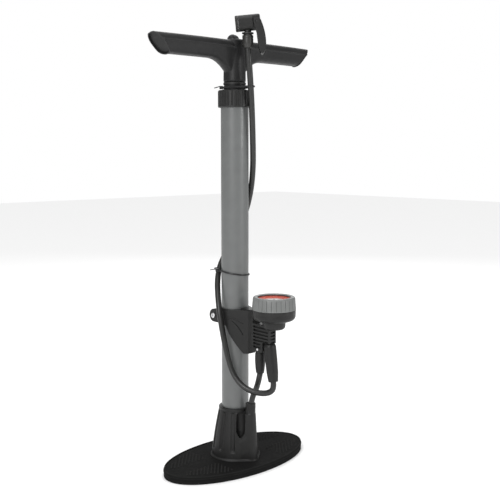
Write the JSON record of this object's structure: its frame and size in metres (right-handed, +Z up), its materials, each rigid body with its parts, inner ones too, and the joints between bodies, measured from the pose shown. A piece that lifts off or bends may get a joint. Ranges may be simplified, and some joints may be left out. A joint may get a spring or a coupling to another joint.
{
  "type": "floor pump",
  "caption": "Upright bicycle floor pump: oval foot with a flared socket, grey steel barrel, T-handle, clamped pressure gauge, wrapped hose and a lever-lock head stowed by the handle.",
  "frame": {"origin": "on the barrel's axis, at the underside of the foot, where the pump stands on the floor", "axes": "+Z up along the barrel, X along the handle and the long axis of the foot, -Y towards the gauge, the hose boss and the stowed pump head, +Y towards the clamp's ear behind the barrel"},
  "size_m": [0.2744, 0.1693, 0.6184],
  "materials": {
    "satin_grey_paint": "satin grey enamel with a faint orange-peel",
    "black_moulding": "fine-grained black glass-filled nylon",
    "grip_plastic": "fine-grained black handle plastic",
    "ring_plastic": "satin mid-grey plastic",
    "red_plastic": "satin red plastic",
    "dial_white": "printed white dial",
    "pointer_black": "black painted needle",
    "lens_clear": "clear moulded lens",
    "hose_rubber": "extruded black rubber hose",
    "black_rubber": "matt black rubber",
    "tie_nylon": "black nylon cable tie",
    "zinc_steel": "bright zinc-plated steel",
    "rod_steel": "polished plated steel",
    "brass": "turned brass",
    "alloy": "machined light alloy",
    "ferrule_dark": "dark grey-brown moulded sleeve"
  },
  "bodies": {
    "pump_body": {"foot": "black_moulding", "barrel_socket": "black_moulding", "barrel": "satin_grey_paint", "valve_seat": "brass", "base_gasket": "black_rubber", "valve_spring": "zinc_steel", "base_barb": "brass", "top_cap": "black_moulding", "rod_bushing": "black_moulding", "rod_wiper": "black_rubber", "gauge_bracket": "black_moulding", "clamp_screw": "zinc_steel", "clamp_nut": "zinc_steel", "air_block": "alloy", "inlet_fitting": "brass", "outlet_fitting": "brass", "supply_connector": "black_rubber", "delivery_connector": "black_rubber", "bracket_screws": "zinc_steel", "gauge_case": "black_moulding", "gauge_dial": "dial_white", "red_flange": "red_plastic", "gauge_lens": "lens_clear", "gauge_movement": "brass", "spring_tube": "brass", "gauge_stem": "brass", "supply_hose": "hose_rubber", "delivery_hose": "hose_rubber", "upper_tie": "tie_nylon", "lower_tie": "tie_nylon", "head_body": "black_moulding", "head_cap": "black_moulding", "head_grommet": "black_rubber", "head_neck": "black_moulding", "hose_ferrule": "ferrule_dark", "lever_pin": "pointer_black"},
    "handle_set": {"handle": "grip_plastic", "piston_rod": "rod_steel", "handle_pin": "zinc_steel", "piston": "black_moulding", "piston_seal": "black_rubber", "piston_washer": "zinc_steel", "piston_nut": "zinc_steel", "stroke_bumper": "black_rubber"},
    "gauge_ring": {"gauge_ring": "ring_plastic"},
    "pointer": {"gauge_pointer": "pointer_black", "pointer_arbor": "brass"},
    "lever": {"head_lever": "black_moulding"},
    "plunger": {"head_plunger": "black_moulding"},
    "poppet": {"valve_poppet": "black_rubber"}
  },
  "joints": [
    {"name": "handle_stroke", "type": "slide", "parent": "pump_body", "child": "handle_set", "axis": [0, 0, 1], "range_m": [0, 0.43]},
    {"name": "gauge_ring_turn", "type": "hinge", "parent": "pump_body", "child": "gauge_ring", "pos_m": [0, -0.0777, 0.238], "axis": [0, 0, 1], "continuous": true},
    {"name": "pointer_turn", "type": "hinge", "parent": "pump_body", "child": "pointer", "pos_m": [0, -0.0777, 0.238], "axis": [0, 0, -1], "range_deg": [0, 270]},
    {"name": "lever_pivot", "type": "hinge", "parent": "pump_body", "child": "lever", "pos_m": [0.00125, -0.04263, 0.60765], "axis": [-0.6807, -0.7325, 0], "range_deg": [0, 95]},
    {"name": "plunger_push", "type": "slide", "parent": "pump_body", "child": "plunger", "axis": [-0.7292, 0.6776, -0.0958], "range_m": [0, 0.0015]},
    {"name": "poppet_lift", "type": "slide", "parent": "pump_body", "child": "poppet", "axis": [0, 0, -1], "range_m": [0, 0.0016], "stiffness_N_per_m": 150, "deforming": ["valve_spring"]}
  ],
  "couplings": [
    {"joint": "plunger_push", "follows": "lever_pivot", "m_per_rad": 0.0009}
  ]
}
